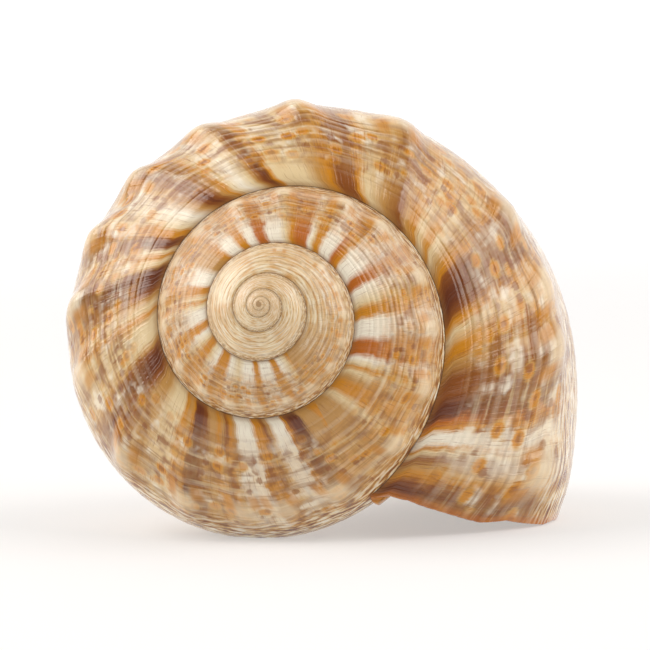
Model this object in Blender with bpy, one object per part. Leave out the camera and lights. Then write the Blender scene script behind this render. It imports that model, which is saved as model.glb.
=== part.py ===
"""Knobbed whelk-type sea shell, lying on its aperture with the spire towards -Y.

The whole shell is one closed solid. Its outside is a helical surface: one profile,
written as radius and depth from the tip of the spire, is carried round the coiling
axis and grows as it goes. The last turn ends at the lip, where the surface turns
over a rounded edge and runs back inside as a hollow that stays open at the aperture.
"""

import bpy
import numpy as np

# All lengths below are millimetres. Depth is measured from the tip along the coiling axis.
# Turns count from the lip, so the lip is turn 0 and the turn before it is -1.
LIP_AZIMUTH = 62.0
SUTURE_RADIUS = 30.43
GROWTH = 0.6500
GROWTH_BEND = -0.0184
GROWTH_TWIST = -0.0013
SUTURE_RISE = 0.696
RISE_RADIUS = 14.4
RISE_POWER = 1.081

# How the shoulder, the side wall and the knobs stand against the suture, by turn.
SHAPE_TURNS = (-3.0, -1.5, -1.0, -0.86, -0.68, -0.43, -0.28, -0.14, -0.07, 0.0)
SHOULDER_LOG = (0.57, 0.575, 0.588, 0.598, 0.584, 0.520, 0.472, 0.466, 0.464, 0.455)
SHOULDER_DEPTH = (1.70, 1.70, 1.70, 1.70, 1.70, 1.69, 1.68, 1.68, 1.68, 1.68)
STAND_TURNS = (-3.0, -1.0, -0.86, -0.68, -0.43, -0.28, -0.20, -0.167, -0.133, -0.097, 0.0)
SIDE_STAND = (7.0, 6.9, 6.4, 5.6, 4.2, 3.3, 2.6, 2.4, 3.0, 4.9, 6.4)
END_FLARE = 0.035
END_FLARE_TURN = 0.13

# The ramp from suture to shoulder, as shares of its width and fall.
RAMP = ((0.0, 0.0), (0.10, 0.02), (0.28, 0.14), (0.58, 0.43), (0.84, 0.76), (1.0, 1.0))
# The side wall and base, as radius and depth steps from the shoulder at the lip's scale.
SIDE_DEPTH = 13.0
BASE_BULGE = 0.5
BASE_BULGE_DEPTH = 25.0
BASE = ((1.5, 22.0), (-3.0, 32.0), (-10.8, 42.0), (-20.3, 50.0), (-26.4, 55.6), (-31.4, 61.5))
# The wall of the navel, as shares of the radius and height of the ridge round it.
NAVEL = ((0.86, 0.985), (0.68, 0.86), (0.52, 0.55), (0.34, 0.2), (0.0, 0.0))
NAVEL_DEPTH = 58.0

# How far each profile point of the lip lags behind the suture, in degrees.
LIP_LAG = (0, 4.7, 9, 14, 18, 22, 26, 28, 29, 28, 25, 21, 16, 11, 8, 6, 4, 2, 0)
LAG_TURNS = (-3.0, -2.0, -1.0, -0.6, 0.0)
LAG_SHARE = (0.30, 0.40, 0.55, 0.90, 1.0)
LAG_BLEND = 110.0

# Knobs on the shoulder: azimuth in degrees and height as a share of the usual height.
KNOBS = (
    (-799, 0.35), (-760, 0.35), (-739, 0.35), (-718, 0.45), (-698, 0.5), (-679, 0.55),
    (-660, 0.6), (-643, 0.65), (-623, 0.7), (-606, 0.7), (-588, 0.75), (-568, 0.8),
    (-543, 0.8), (-528, 0.7), (-509, 0.45), (-491, 0.45), (-469, 0.8), (-447, 0.9),
    (-420, 0.9), (-402, 0.8), (-377, 0.9), (-357, 0.9), (-336, 0.9), (-314, 0.8),
    (-290, 0.9), (-272, 0.8), (-260, 0.7), (-241, 0.9), (-218, 1.0), (-191, 0.6),
    (-172, 1.1), (-152, 1.1), (-133, 1.1), (-113, 1.0), (-89, 1.1), (-64, 0.9),
    (-30, 0.8), (-11, 0.7), (2, 0.8), (29, 0.8),
)
KNOB_HEIGHT = 0.042
KNOB_WIDTH = 5.2
KNOB_RISE_UP = 1.25
KNOB_RISE_DOWN = 0.75
# The fold that runs down the ramp from each knob, by profile position.
FOLD_HEIGHT = 0.014
FOLD_WIDTH = 8.0
FOLD_MIDDLE = 3.6
FOLD_REACH = 1.7
FOLD_START = 1.5
GROWTH_STOP = -39.0
GROWTH_STOP_HEIGHT = 0.012
GROWTH_STOP_WIDTH = 3.0
# How steeply the relief rises from nothing at a suture.
SUTURE_FADE = 2.0

# Wall and hollow.
WALL = 2.2
WALL_POWER = 0.5
PARIETAL_GLAZE = 0.9
CORNER_SHIFT = 1.5
CORNER_REACH = 2.0
CORNER_DROP = 0.6
CORNER_SMOOTHING = 3
# The columella, as radius at the lip and share of the way up from the canal.
COLUMELLA = ((12.4, 0.0), (12.3, 0.15), (12.6, 0.32), (13.4, 0.52), (15.2, 0.72), (17.6, 0.88))
CANAL_LIFT = 0.6
JOIN_AT = 10.0

# Sampling of the surface.
START_AZIMUTH = -1560.0
COLUMN_STEP = 2.5
SPIRE_ROWS = 22
LAST_ROWS = 62
HOLLOW_STEPS = (1.5, 4, 8, 13, 20, 28, 38, 50, 64, 80, 100, 120, 142, 166, 192, 220, 248, 276, 300)
RIM_SHARES = (0.2, 0.4, 0.6, 0.8)
RIM_BULGE = 0.28
RIM_WIDEST = 2.5
KEEP_SHARE = 0.2

# Resting attitude: the turn from tip up to lying on the lip and the turn before it.
REST_MATRIX = ((0.99996, -0.00936, -0.00000), (0.00244, 0.26031, -0.96552), (0.00904, 0.96548, 0.26032))
# How much the touching spots are worn level.
REST_WEAR = 0.5
BASE_COLOUR = (0.50, 0.33, 0.19, 1.0)
ROUGHNESS = 0.3
MM = 0.001


def hermite(x, xs, ys):
    """A smooth curve through the points xs, ys, held level beyond both ends."""
    xs = np.asarray(xs, float)
    ys = np.asarray(ys, float)
    x = np.clip(x, xs[0], xs[-1])
    i = np.clip(np.searchsorted(xs, x, side="right") - 1, 0, len(xs) - 2)
    step = np.diff(xs)
    slope = np.diff(ys) / step
    tangent = np.zeros_like(ys)
    same = slope[:-1] * slope[1:] > 0
    mean = 2 * slope[:-1] * slope[1:] / np.where(same, slope[:-1] + slope[1:], 1.0)
    tangent[1:-1] = np.where(same, mean, 0.0)
    t = (x - xs[i]) / step[i]
    low = (1 + 2 * t) * (1 - t) ** 2 * ys[i] + t * (1 - t) ** 2 * step[i] * tangent[i]
    high = t * t * (3 - 2 * t) * ys[i + 1] + t * t * (t - 1) * step[i] * tangent[i + 1]
    return low + high


def suture(turn):
    radius = SUTURE_RADIUS * np.exp(GROWTH * turn + GROWTH_BEND * turn**2 + GROWTH_TWIST * turn**3)
    flare = np.clip(1.0 + turn / END_FLARE_TURN, 0, 1)
    radius = radius * (1.0 + END_FLARE * flare**2)
    return radius, SUTURE_RISE * RISE_RADIUS * (radius / RISE_RADIUS) ** RISE_POWER


def shoulder(turn):
    radius, depth = suture(turn)
    log = hermite(turn, SHAPE_TURNS, SHOULDER_LOG)
    return radius * np.exp(log), depth * hermite(turn, SHAPE_TURNS, SHOULDER_DEPTH)


LIP_SHOULDER = float(shoulder(np.float64(0.0))[0])
SHOULDER_AT = len(RAMP) - 1
NEXT_SUTURE_AT = len(RAMP)
TIP_AT = len(RAMP) + 1 + len(BASE)
LAST_AT = TIP_AT + len(NAVEL)


def controls(turn):
    """The control points of the profile at each turn, as radius and depth on the last axis."""
    radius, depth = suture(turn)
    far, low = shoulder(turn)
    scale = far / LIP_SHOULDER
    stand = hermite(turn, STAND_TURNS, SIDE_STAND)
    points = [(radius + (far - radius) * a, depth + (low - depth) * b) for a, b in RAMP]
    before_far, before_low = shoulder(np.float64(-1.0))
    lip_radius, lip_depth = suture(np.float64(0.0))
    before = before_far / LIP_SHOULDER
    step_out = (lip_radius - before_far) / before * stand / SIDE_STAND[1]
    step_down = (lip_depth - before_low) / before
    next_radius, next_depth = suture(np.minimum(turn + 1.0, 0.0))
    wound = turn <= -1.0
    points.append((np.where(wound, next_radius, far + step_out * scale),
                   np.where(wound, next_depth, low + step_down * scale)))
    points.append((far + stand * scale, low + SIDE_DEPTH * scale))
    for out, down in BASE:
        bulge = BASE_BULGE * stand if down < BASE_BULGE_DEPTH else 0.0
        points.append((far + (out + bulge) * scale, low + down * scale))
    ridge_radius, ridge_depth = points[-1]
    for a, b in NAVEL:
        points.append((ridge_radius * a, NAVEL_DEPTH + (ridge_depth - NAVEL_DEPTH) * b))
    return np.stack([np.stack(pair, -1) for pair in points], -2)


def along(points, s):
    """The point at profile position s on each curve of control points, and its direction."""
    chord = np.linalg.norm(np.diff(points, axis=-2), axis=-1) + 1e-9
    slope = np.diff(points, axis=-2) / chord[..., None]
    tangent = np.empty_like(points)
    weight = chord[..., :-1] + chord[..., 1:]
    tangent[..., 1:-1, :] = slope[..., :-1, :] * (chord[..., 1:] / weight)[..., None]
    tangent[..., 1:-1, :] += slope[..., 1:, :] * (chord[..., :-1] / weight)[..., None]
    tangent[..., 0, :] = slope[..., 0, :]
    tangent[..., -1, :] = slope[..., -1, :]
    i = np.clip(np.floor(s).astype(int), 0, points.shape[-2] - 2)
    t = (s - i)[..., None]

    def pick(values, k):
        return np.take_along_axis(values, k[..., None, None], axis=-2)[..., 0, :]

    a = pick(points, i)
    b = pick(points, i + 1)
    length = np.take_along_axis(chord, i[..., None], axis=-1)
    u = pick(tangent, i) * length
    v = pick(tangent, i + 1) * length
    place = (1 + 2 * t) * (1 - t) ** 2 * a + t * (1 - t) ** 2 * u
    place += t * t * (3 - 2 * t) * b + t * t * (t - 1) * v
    way = 6 * t * (t - 1) * a + (1 - t) * (1 - 3 * t) * u
    way += 6 * t * (1 - t) * b + t * (3 * t - 2) * v
    way /= np.linalg.norm(way, axis=-1, keepdims=True) + 1e-12
    return place, way


def lag(s):
    return hermite(s, np.arange(len(LIP_LAG)), LIP_LAG)


def growth_angle(azimuth, s):
    """The azimuth at which the shell edge of that age met the suture."""
    share = hermite((azimuth - LIP_AZIMUTH) / 360.0, LAG_TURNS, LAG_SHARE)
    return azimuth + lag(s) * share


def relief(azimuth, s):
    """Knobs, folds and the growth stop, as a share of the local shoulder radius."""
    age = growth_angle(azimuth, s)
    above = np.where(s < SHOULDER_AT, KNOB_RISE_UP, KNOB_RISE_DOWN)
    band = np.exp(-(((s - SHOULDER_AT) / above) ** 2))
    fold = np.exp(-(((s - FOLD_MIDDLE) / FOLD_REACH) ** 2)) * np.clip(s / FOLD_START, 0, 1)
    height = np.zeros_like(age)
    for centre, size in KNOBS:
        away = age - float(growth_angle(np.float64(centre), np.float64(SHOULDER_AT)))
        height += size * KNOB_HEIGHT * np.exp(-((away / KNOB_WIDTH) ** 2)) * band
        height += size * FOLD_HEIGHT * np.exp(-((away / FOLD_WIDTH) ** 2)) * fold
    stop = np.exp(-(((age - GROWTH_STOP) / GROWTH_STOP_WIDTH) ** 2))
    height += GROWTH_STOP_HEIGHT * stop * np.clip(s, 0, 1) * np.clip(TIP_AT - s, 0, 1)
    # Both edges of the ramp stay on the suture, so the turns meet without a gap.
    turn = (azimuth - LIP_AZIMUTH) / 360.0
    edge = np.where(turn <= -1.0, np.clip((NEXT_SUTURE_AT - s) * SUTURE_FADE, 0, 1), 1.0)
    return height * np.clip(s * SUTURE_FADE, 0, 1) * edge


def surface(azimuth, s, inset=0.0, raised=True):
    """Points of the shell at azimuth and profile position, moved in by inset."""
    turn = (azimuth - LIP_AZIMUTH) / 360.0
    place, way = along(controls(turn), s)
    size = shoulder(turn)[0]
    rise = relief(azimuth, s) * size if raised else 0.0
    rise = rise - inset
    radius = place[..., 0] + way[..., 1] * rise
    depth = place[..., 1] - way[..., 0] * rise
    return radius, depth


def turned(azimuth, radius, depth):
    angle = np.radians(azimuth)
    return np.stack([radius * np.cos(angle), -radius * np.sin(angle), -depth], -1)


def lip_share(azimuth):
    t = np.clip((azimuth - LIP_AZIMUTH + LAG_BLEND) / LAG_BLEND, 0, 1)
    return t * t * (3 - 2 * t)


def section(azimuth, outer_s, pillar_rows, inner_s):
    """One closed ring of the hollow: outer wall, columella, then the wall of the turn before."""
    size = shoulder(np.float64((azimuth - LIP_AZIMUTH) / 360.0))[0] / LIP_SHOULDER
    shift = CORNER_SHIFT * np.clip((CORNER_REACH - outer_s) / CORNER_REACH, 0, 1)
    outer_azimuth = azimuth - lag(outer_s + shift) * lip_share(azimuth)
    radius, depth = surface(outer_azimuth, outer_s + shift, WALL * size**WALL_POWER, False)
    outer = turned(outer_azimuth, radius, depth)
    inner_azimuth = np.full_like(inner_s, azimuth - 360.0)
    drop = CORNER_DROP * np.clip(NEXT_SUTURE_AT + 1.0 - inner_s, 0, 1)
    radius, depth = surface(inner_azimuth, inner_s + drop, -PARIETAL_GLAZE, False)
    inner = turned(inner_azimuth, radius, depth)
    join = np.array([np.hypot(inner[0, 0], inner[0, 1]), -inner[0, 2]])
    tip = -outer[-1, 2] - CANAL_LIFT * size
    pillar = np.array(COLUMELLA)
    t = np.linspace(0, 1, pillar_rows + 2)[1:-1] * len(pillar)
    knots = np.arange(len(pillar) + 1)
    radius = hermite(t, knots, np.append(pillar[:, 0] * size, join[0]))
    share = hermite(t, knots, np.append(pillar[:, 1], 1.0))
    middle = turned(np.full_like(t, azimuth), radius, tip + (join[1] - tip) * share)
    ring = np.concatenate([outer, middle, inner])
    for _ in range(CORNER_SMOOTHING):
        ring = 0.5 * ring + 0.25 * (np.roll(ring, 1, 0) + np.roll(ring, -1, 0))
    return ring


def shell_mesh():
    """The vertices and faces of the closed shell, in millimetres and with the tip up."""
    blocks = []
    faces = []

    def add(points):
        first = sum(len(block) for block in blocks)
        blocks.append(points)
        return np.arange(first, first + len(points))

    def sheet(rows):
        for a, b in zip(rows[:-1], rows[1:]):
            for k in range(len(a) - 1):
                corners = (a[k], b[k], b[k + 1], a[k + 1])
                corners = list(dict.fromkeys(int(v) for v in corners))
                if len(corners) > 2:
                    faces.append(corners)

    turn_columns = int(round(360.0 / COLUMN_STEP))
    count = int((LIP_AZIMUTH - START_AZIMUTH) / COLUMN_STEP) + 1
    azimuths = LIP_AZIMUTH - COLUMN_STEP * np.arange(count)[::-1]
    spire_s = np.linspace(0, NEXT_SUTURE_AT, SPIRE_ROWS + 1)
    below_s = np.linspace(NEXT_SUTURE_AT, LAST_AT, LAST_ROWS - SPIRE_ROWS + 1)
    last_s = np.concatenate([spire_s, below_s[1:]])
    opening = count - 1 - turn_columns
    pole = add(np.array([[0.0, 0.0, -NAVEL_DEPTH]]))
    peak = int(add(np.zeros((1, 3)))[0])
    columns = []
    for n, azimuth in enumerate(azimuths):
        s = spire_s if n < opening else last_s[:-1]
        place = azimuth - lag(s) * lip_share(azimuth)
        points = turned(place, *surface(place, s))
        if n < turn_columns:
            own = add(points)
        else:
            own = np.concatenate([columns[n - turn_columns][[SPIRE_ROWS]], add(points[1:])])
        columns.append(own if n < opening else np.concatenate([own, pole]))
    sheet([column[: SPIRE_ROWS + 1] for column in columns])
    sheet([column[SPIRE_ROWS:] for column in columns[opening:]])
    # The first turn closes on the tip of the spire.
    for n in range(turn_columns):
        faces.append([peak, int(columns[n + 1][0]), int(columns[n][0])])
    for k in range(SPIRE_ROWS):
        faces.append([peak, int(columns[0][k]), int(columns[0][k + 1])])
    # The edge that the lip and the start of the last turn share runs round the aperture.
    ridge_row = int(np.argmin(abs(last_s - TIP_AT)))
    join_row = int(np.argmin(abs(last_s - JOIN_AT)))
    lip = columns[-1]
    parietal = columns[opening]
    edge = np.concatenate([lip, parietal[SPIRE_ROWS + 1 : -1][::-1]])
    pillar_rows = (LAST_ROWS - ridge_row) + (LAST_ROWS - 1 - join_row)
    outer_s = last_s[: ridge_row + 1]
    inner_s = last_s[SPIRE_ROWS + 1 : join_row + 1][::-1]
    placed = np.concatenate(blocks)
    rings = [section(LIP_AZIMUTH - back, outer_s, pillar_rows, inner_s) for back in HOLLOW_STEPS]
    rim = placed[edge]
    forward = np.stack([rim[:, 1], -rim[:, 0], np.zeros(len(rim))], -1)
    forward /= np.linalg.norm(forward, axis=-1, keepdims=True) + 1e-9
    across = rings[0] - rim
    width = np.linalg.norm(across, axis=-1, keepdims=True)
    loops = [edge]
    for share in RIM_SHARES:
        bulge = RIM_BULGE * 4.0 * share * (1.0 - share) * np.minimum(width, RIM_WIDEST)
        loops.append(add(rim + across * share + forward * bulge))
    loops += [add(ring) for ring in rings]
    sheet([np.append(loop, loop[0]) for loop in loops])
    middle = int(add(rings[-1].mean(axis=0)[None])[0])
    for a, b in zip(loops[-1], np.roll(loops[-1], -1)):
        faces.append([int(b), int(a), middle])
    return np.concatenate(blocks), faces


def resting(points):
    """Turns the shell from tip up to lying on its aperture, and levels the spots it rests on."""
    placed = points @ np.array(REST_MATRIX).T
    placed[:, 2] = np.maximum(placed[:, 2], placed[:, 2].min() + REST_WEAR)
    low = placed.min(axis=0)
    high = placed.max(axis=0)
    return placed - np.array([(low[0] + high[0]) / 2, (low[1] + high[1]) / 2, low[2]])


def build():
    for obj in list(bpy.data.objects):
        bpy.data.objects.remove(obj, do_unlink=True)
    points, faces = shell_mesh()
    mesh = bpy.data.meshes.new("shell")
    mesh.from_pydata((resting(points) * MM).tolist(), [], faces)
    shell = bpy.data.objects.new("shell", mesh)
    bpy.context.scene.collection.objects.link(shell)
    material = bpy.data.materials.new("shell")
    material.use_nodes = True
    surface_node = material.node_tree.nodes["Principled BSDF"]
    surface_node.inputs["Base Color"].default_value = BASE_COLOUR
    surface_node.inputs["Roughness"].default_value = ROUGHNESS
    mesh.materials.append(material)
    fewer = shell.modifiers.new("fewer", "DECIMATE")
    fewer.ratio = KEEP_SHARE
    fewer.use_collapse_triangulate = True
    return shell


build()
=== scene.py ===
import math

import bpy
import numpy as np
from mathutils import Matrix, Vector


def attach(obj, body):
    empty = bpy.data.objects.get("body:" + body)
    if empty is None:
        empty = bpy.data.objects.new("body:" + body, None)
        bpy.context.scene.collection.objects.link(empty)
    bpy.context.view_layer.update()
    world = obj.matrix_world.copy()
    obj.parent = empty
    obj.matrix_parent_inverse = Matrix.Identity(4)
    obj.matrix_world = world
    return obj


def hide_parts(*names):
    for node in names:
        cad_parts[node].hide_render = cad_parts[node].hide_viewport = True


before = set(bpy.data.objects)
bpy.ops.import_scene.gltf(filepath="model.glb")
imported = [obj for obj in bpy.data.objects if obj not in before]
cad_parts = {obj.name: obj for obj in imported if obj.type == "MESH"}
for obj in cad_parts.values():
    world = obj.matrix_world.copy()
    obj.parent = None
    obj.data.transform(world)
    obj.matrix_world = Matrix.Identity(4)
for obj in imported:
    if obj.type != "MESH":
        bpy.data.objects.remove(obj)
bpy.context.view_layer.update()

# All lengths of the shell are millimetres. Depth is measured from the tip along the coiling axis.
# Turns count from the lip, so the lip is turn 0 and the turn before it is -1.
LIP_AZIMUTH = 62.0
SUTURE_RADIUS = 30.43
GROWTH = 0.6500
GROWTH_BEND = -0.0184
GROWTH_TWIST = -0.0013
SUTURE_RISE = 0.696
RISE_RADIUS = 14.4
RISE_POWER = 1.081

# How the shoulder, the side wall and the knobs stand against the suture, by turn.
SHAPE_TURNS = (-3.0, -1.5, -1.0, -0.86, -0.68, -0.43, -0.28, -0.14, -0.07, 0.0)
SHOULDER_LOG = (0.57, 0.575, 0.588, 0.598, 0.584, 0.520, 0.472, 0.466, 0.464, 0.455)
SHOULDER_DEPTH = (1.70, 1.70, 1.70, 1.70, 1.70, 1.69, 1.68, 1.68, 1.68, 1.68)
STAND_TURNS = (-3.0, -1.0, -0.86, -0.68, -0.43, -0.28, -0.20, -0.167, -0.133, -0.097, 0.0)
SIDE_STAND = (7.0, 6.9, 6.4, 5.6, 4.2, 3.3, 2.6, 2.4, 3.0, 4.9, 6.4)
END_FLARE = 0.035
END_FLARE_TURN = 0.13

# The ramp from suture to shoulder, as shares of its width and fall.
RAMP = ((0.0, 0.0), (0.10, 0.02), (0.28, 0.14), (0.58, 0.43), (0.84, 0.76), (1.0, 1.0))
# The side wall and base, as radius and depth steps from the shoulder at the lip's scale.
SIDE_DEPTH = 13.0
BASE_BULGE = 0.5
BASE_BULGE_DEPTH = 25.0
BASE = ((1.5, 22.0), (-3.0, 32.0), (-10.8, 42.0), (-20.3, 50.0), (-26.4, 55.6), (-31.4, 61.5))
# The wall of the navel, as shares of the radius and height of the ridge round it.
NAVEL = ((0.86, 0.985), (0.68, 0.86), (0.52, 0.55), (0.34, 0.2), (0.0, 0.0))
NAVEL_DEPTH = 58.0

# Profile positions of the shoulder, the next suture, the tip of the canal and the navel's end.
SHOULDER_AT = len(RAMP) - 1
NEXT_SUTURE_AT = len(RAMP)
TIP_AT = len(RAMP) + 1 + len(BASE)
LAST_AT = TIP_AT + len(NAVEL)

# How far each profile point of the lip lags behind the suture, in degrees.
LIP_LAG = (0, 4.7, 9, 14, 18, 22, 26, 28, 29, 28, 25, 21, 16, 11, 8, 6, 4, 2, 0)
LAG_TURNS = (-3.0, -2.0, -1.0, -0.6, 0.0)
LAG_SHARE = (0.30, 0.40, 0.55, 0.90, 1.0)
LAG_BLEND = 110.0

# Knobs on the shoulder: azimuth in degrees and height as a share of the usual height.
KNOBS = (
    (-799, 0.35), (-760, 0.35), (-739, 0.35), (-718, 0.45), (-698, 0.5), (-679, 0.55),
    (-660, 0.6), (-643, 0.65), (-623, 0.7), (-606, 0.7), (-588, 0.75), (-568, 0.8),
    (-543, 0.8), (-528, 0.7), (-509, 0.45), (-491, 0.45), (-469, 0.8), (-447, 0.9),
    (-420, 0.9), (-402, 0.8), (-377, 0.9), (-357, 0.9), (-336, 0.9), (-314, 0.8),
    (-290, 0.9), (-272, 0.8), (-260, 0.7), (-241, 0.9), (-218, 1.0), (-191, 0.6),
    (-172, 1.1), (-152, 1.1), (-133, 1.1), (-113, 1.0), (-89, 1.1), (-64, 0.9),
    (-30, 0.8), (-11, 0.7), (2, 0.8), (29, 0.8),
)
KNOB_HEIGHT = 0.042
KNOB_WIDTH = 5.2
KNOB_RISE_UP = 1.25
KNOB_RISE_DOWN = 0.75
# The fold that runs down the ramp from each knob, by profile position.
FOLD_HEIGHT = 0.014
FOLD_WIDTH = 8.0
FOLD_MIDDLE = 3.6
FOLD_REACH = 1.7
FOLD_START = 1.5
GROWTH_STOP = -39.0
GROWTH_STOP_HEIGHT = 0.012
GROWTH_STOP_WIDTH = 3.0
# How steeply the relief rises from nothing at a suture.
SUTURE_FADE = 2.0

# Narrow grooves between flat cords: profile position, width and share of the usual depth.
GROOVES = (
    (1.62, 0.035, 0.4), (1.92, 0.04, 0.7), (2.2, 0.045, 1.0), (2.44, 0.035, 0.7),
    (2.72, 0.05, 1.2), (2.98, 0.035, 0.7), (3.26, 0.05, 1.1), (3.52, 0.035, 0.7),
    (3.82, 0.05, 1.2), (4.14, 0.045, 0.9), (4.46, 0.04, 0.7),
)
GROOVE_DEPTH = 0.0028
# They wander a little, by profile position, in so many waves to a turn.
GROOVE_WANDER = 0.03
GROOVE_WAVES = 3.1
GROOVE_PHASE = 200.0
# They grow from a small share of their depth as the shell grows, by azimuth.
GROOVE_LEAST = 0.25
GROOVE_START = -1100.0
GROOVE_GROWTH = 300.0
# Growth lines of four spacings in degrees, each set leaning its own way along the profile.
LINE_HEIGHT = 0.00028
LINE_PERIODS = (1.9, 3.1, 4.7, 7.3)
LINE_LEAN = 0.35
LINE_LEAST = 0.3
LINE_FULL_AT = 2.0

# The wall of the hollow, the glaze on the turn before, and the rounding of the hollow's corner.
WALL = 2.2
WALL_POWER = 0.5
PARIETAL_GLAZE = 0.9
CORNER_SHIFT = 1.5
CORNER_REACH = 2.0
CORNER_DROP = 0.6
CORNER_SMOOTHING = 3
# The columella, as radius at the lip and share of the way up from the canal.
COLUMELLA = ((12.4, 0.0), (12.3, 0.15), (12.6, 0.32), (13.4, 0.52), (15.2, 0.72), (17.6, 0.88))
CANAL_LIFT = 0.6
JOIN_AT = 10.0

# The turn from tip up to lying on the aperture, and the step to the middle of the ground.
REST_MATRIX = (
    (0.99996, -0.00936, -0.00000),
    (0.00244, 0.26031, -0.96552),
    (0.00904, 0.96548, 0.26032),
)
REST_STEP = (-3.6360, -45.5456, 40.1795)
METRES = 0.001

# Sampling of the pieces: columns to a turn and rows along the profile.
TURN_COLUMNS = 720
RAMP_ROWS = 122
RAMP_END = 5.8
WALL_ROWS = 12
BASE_ROWS = 108
INNER_COLUMNS = 300
INNER_ROWS = 60
INNER_START = -2250.0
ARC_STEP = 0.01
# The rings of the hollow, in degrees back from the lip, and those of the rounded rim.
HOLLOW_STEPS = (
    0.6, 1.6, 3, 5, 7.5, 10, 13, 17, 21, 26, 31, 37, 44, 52,
    61, 71, 82, 95, 110, 126, 144, 164, 186, 210, 235, 260, 285, 300,
)
RIM_SHARES = (0.1, 0.2, 0.3, 0.4, 0.5, 0.6, 0.7, 0.8, 0.9)
RIM_BULGE = 0.28
RIM_WIDEST = 2.5
# Where the last turn and the turn before it start, by azimuth.
LAST_TURN = LIP_AZIMUTH - 360.0
TURN_BEFORE = LAST_TURN - 360.0


def hermite(x, xs, ys):
    """A smooth curve through the points xs, ys, held level beyond both ends."""
    xs = np.asarray(xs, float)
    ys = np.asarray(ys, float)
    x = np.clip(x, xs[0], xs[-1])
    i = np.clip(np.searchsorted(xs, x, side="right") - 1, 0, len(xs) - 2)
    step = np.diff(xs)
    slope = np.diff(ys) / step
    tangent = np.zeros_like(ys)
    same = slope[:-1] * slope[1:] > 0
    mean = 2 * slope[:-1] * slope[1:] / np.where(same, slope[:-1] + slope[1:], 1.0)
    tangent[1:-1] = np.where(same, mean, 0.0)
    t = (x - xs[i]) / step[i]
    low = (1 + 2 * t) * (1 - t) ** 2 * ys[i] + t * (1 - t) ** 2 * step[i] * tangent[i]
    high = t * t * (3 - 2 * t) * ys[i + 1] + t * t * (t - 1) * step[i] * tangent[i + 1]
    return low + high


def suture(turn):
    """Radius and depth of the suture."""
    growth = GROWTH * turn + GROWTH_BEND * turn**2 + GROWTH_TWIST * turn**3
    flare = np.clip(1.0 + turn / END_FLARE_TURN, 0, 1)
    radius = SUTURE_RADIUS * np.exp(growth) * (1.0 + END_FLARE * flare**2)
    return radius, SUTURE_RISE * RISE_RADIUS * (radius / RISE_RADIUS) ** RISE_POWER


def shoulder(turn):
    """Radius and depth of the shoulder."""
    radius, depth = suture(turn)
    log = hermite(turn, SHAPE_TURNS, SHOULDER_LOG)
    return radius * np.exp(log), depth * hermite(turn, SHAPE_TURNS, SHOULDER_DEPTH)


LIP_SHOULDER = float(shoulder(np.float64(0.0))[0])


def turn_of(azimuth):
    return (azimuth - LIP_AZIMUTH) / 360.0


def controls(turn):
    """The control points of the profile at each turn, as radius and depth on the last axis."""
    radius, depth = suture(turn)
    far, low = shoulder(turn)
    scale = far / LIP_SHOULDER
    stand = hermite(turn, STAND_TURNS, SIDE_STAND)
    points = [(radius + (far - radius) * a, depth + (low - depth) * b) for a, b in RAMP]
    before_far, before_low = shoulder(np.float64(-1.0))
    lip_radius, lip_depth = suture(np.float64(0.0))
    before = before_far / LIP_SHOULDER
    step_out = (lip_radius - before_far) / before * stand / SIDE_STAND[1]
    step_down = (lip_depth - before_low) / before
    next_radius, next_depth = suture(np.minimum(turn + 1.0, 0.0))
    wound = turn <= -1.0
    points.append((np.where(wound, next_radius, far + step_out * scale),
                   np.where(wound, next_depth, low + step_down * scale)))
    points.append((far + stand * scale, low + SIDE_DEPTH * scale))
    for out, down in BASE:
        bulge = BASE_BULGE * stand if down < BASE_BULGE_DEPTH else 0.0
        points.append((far + (out + bulge) * scale, low + down * scale))
    ridge_radius, ridge_depth = points[-1]
    for a, b in NAVEL:
        points.append((ridge_radius * a, NAVEL_DEPTH + (ridge_depth - NAVEL_DEPTH) * b))
    return np.stack([np.stack(pair, -1) for pair in points], -2)


def along(points, s):
    """The point at profile position s on each curve of control points, and its direction."""
    chord = np.linalg.norm(np.diff(points, axis=-2), axis=-1) + 1e-9
    slope = np.diff(points, axis=-2) / chord[..., None]
    tangent = np.empty_like(points)
    weight = chord[..., :-1] + chord[..., 1:]
    tangent[..., 1:-1, :] = slope[..., :-1, :] * (chord[..., 1:] / weight)[..., None]
    tangent[..., 1:-1, :] += slope[..., 1:, :] * (chord[..., :-1] / weight)[..., None]
    tangent[..., 0, :] = slope[..., 0, :]
    tangent[..., -1, :] = slope[..., -1, :]
    i = np.clip(np.floor(s).astype(int), 0, points.shape[-2] - 2)
    t = (s - i)[..., None]

    def pick(values, k):
        return np.take_along_axis(values, k[..., None, None], axis=-2)[..., 0, :]

    a = pick(points, i)
    b = pick(points, i + 1)
    length = np.take_along_axis(chord, i[..., None], axis=-1)
    u = pick(tangent, i) * length
    v = pick(tangent, i + 1) * length
    place = (1 + 2 * t) * (1 - t) ** 2 * a + t * (1 - t) ** 2 * u
    place += t * t * (3 - 2 * t) * b + t * t * (t - 1) * v
    way = 6 * t * (t - 1) * a + (1 - t) * (1 - 3 * t) * u
    way += 6 * t * (1 - t) * b + t * (3 * t - 2) * v
    way /= np.linalg.norm(way, axis=-1, keepdims=True) + 1e-12
    return place, way


def lag(s):
    return hermite(s, np.arange(len(LIP_LAG)), LIP_LAG)


def growth_angle(azimuth, s):
    """The azimuth at which the shell edge of that age met the suture."""
    return azimuth + lag(s) * hermite(turn_of(azimuth), LAG_TURNS, LAG_SHARE)


def knob_ages():
    """The growth age of each knob's middle, and its share of the usual height."""
    return [(float(growth_angle(np.float64(middle), np.float64(SHOULDER_AT))), size)
            for middle, size in KNOBS]


KNOB_AGES = knob_ages()


def hump(away, width):
    """A bell curve, 1 in the middle."""
    return np.exp(-((away / width) ** 2))


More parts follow.
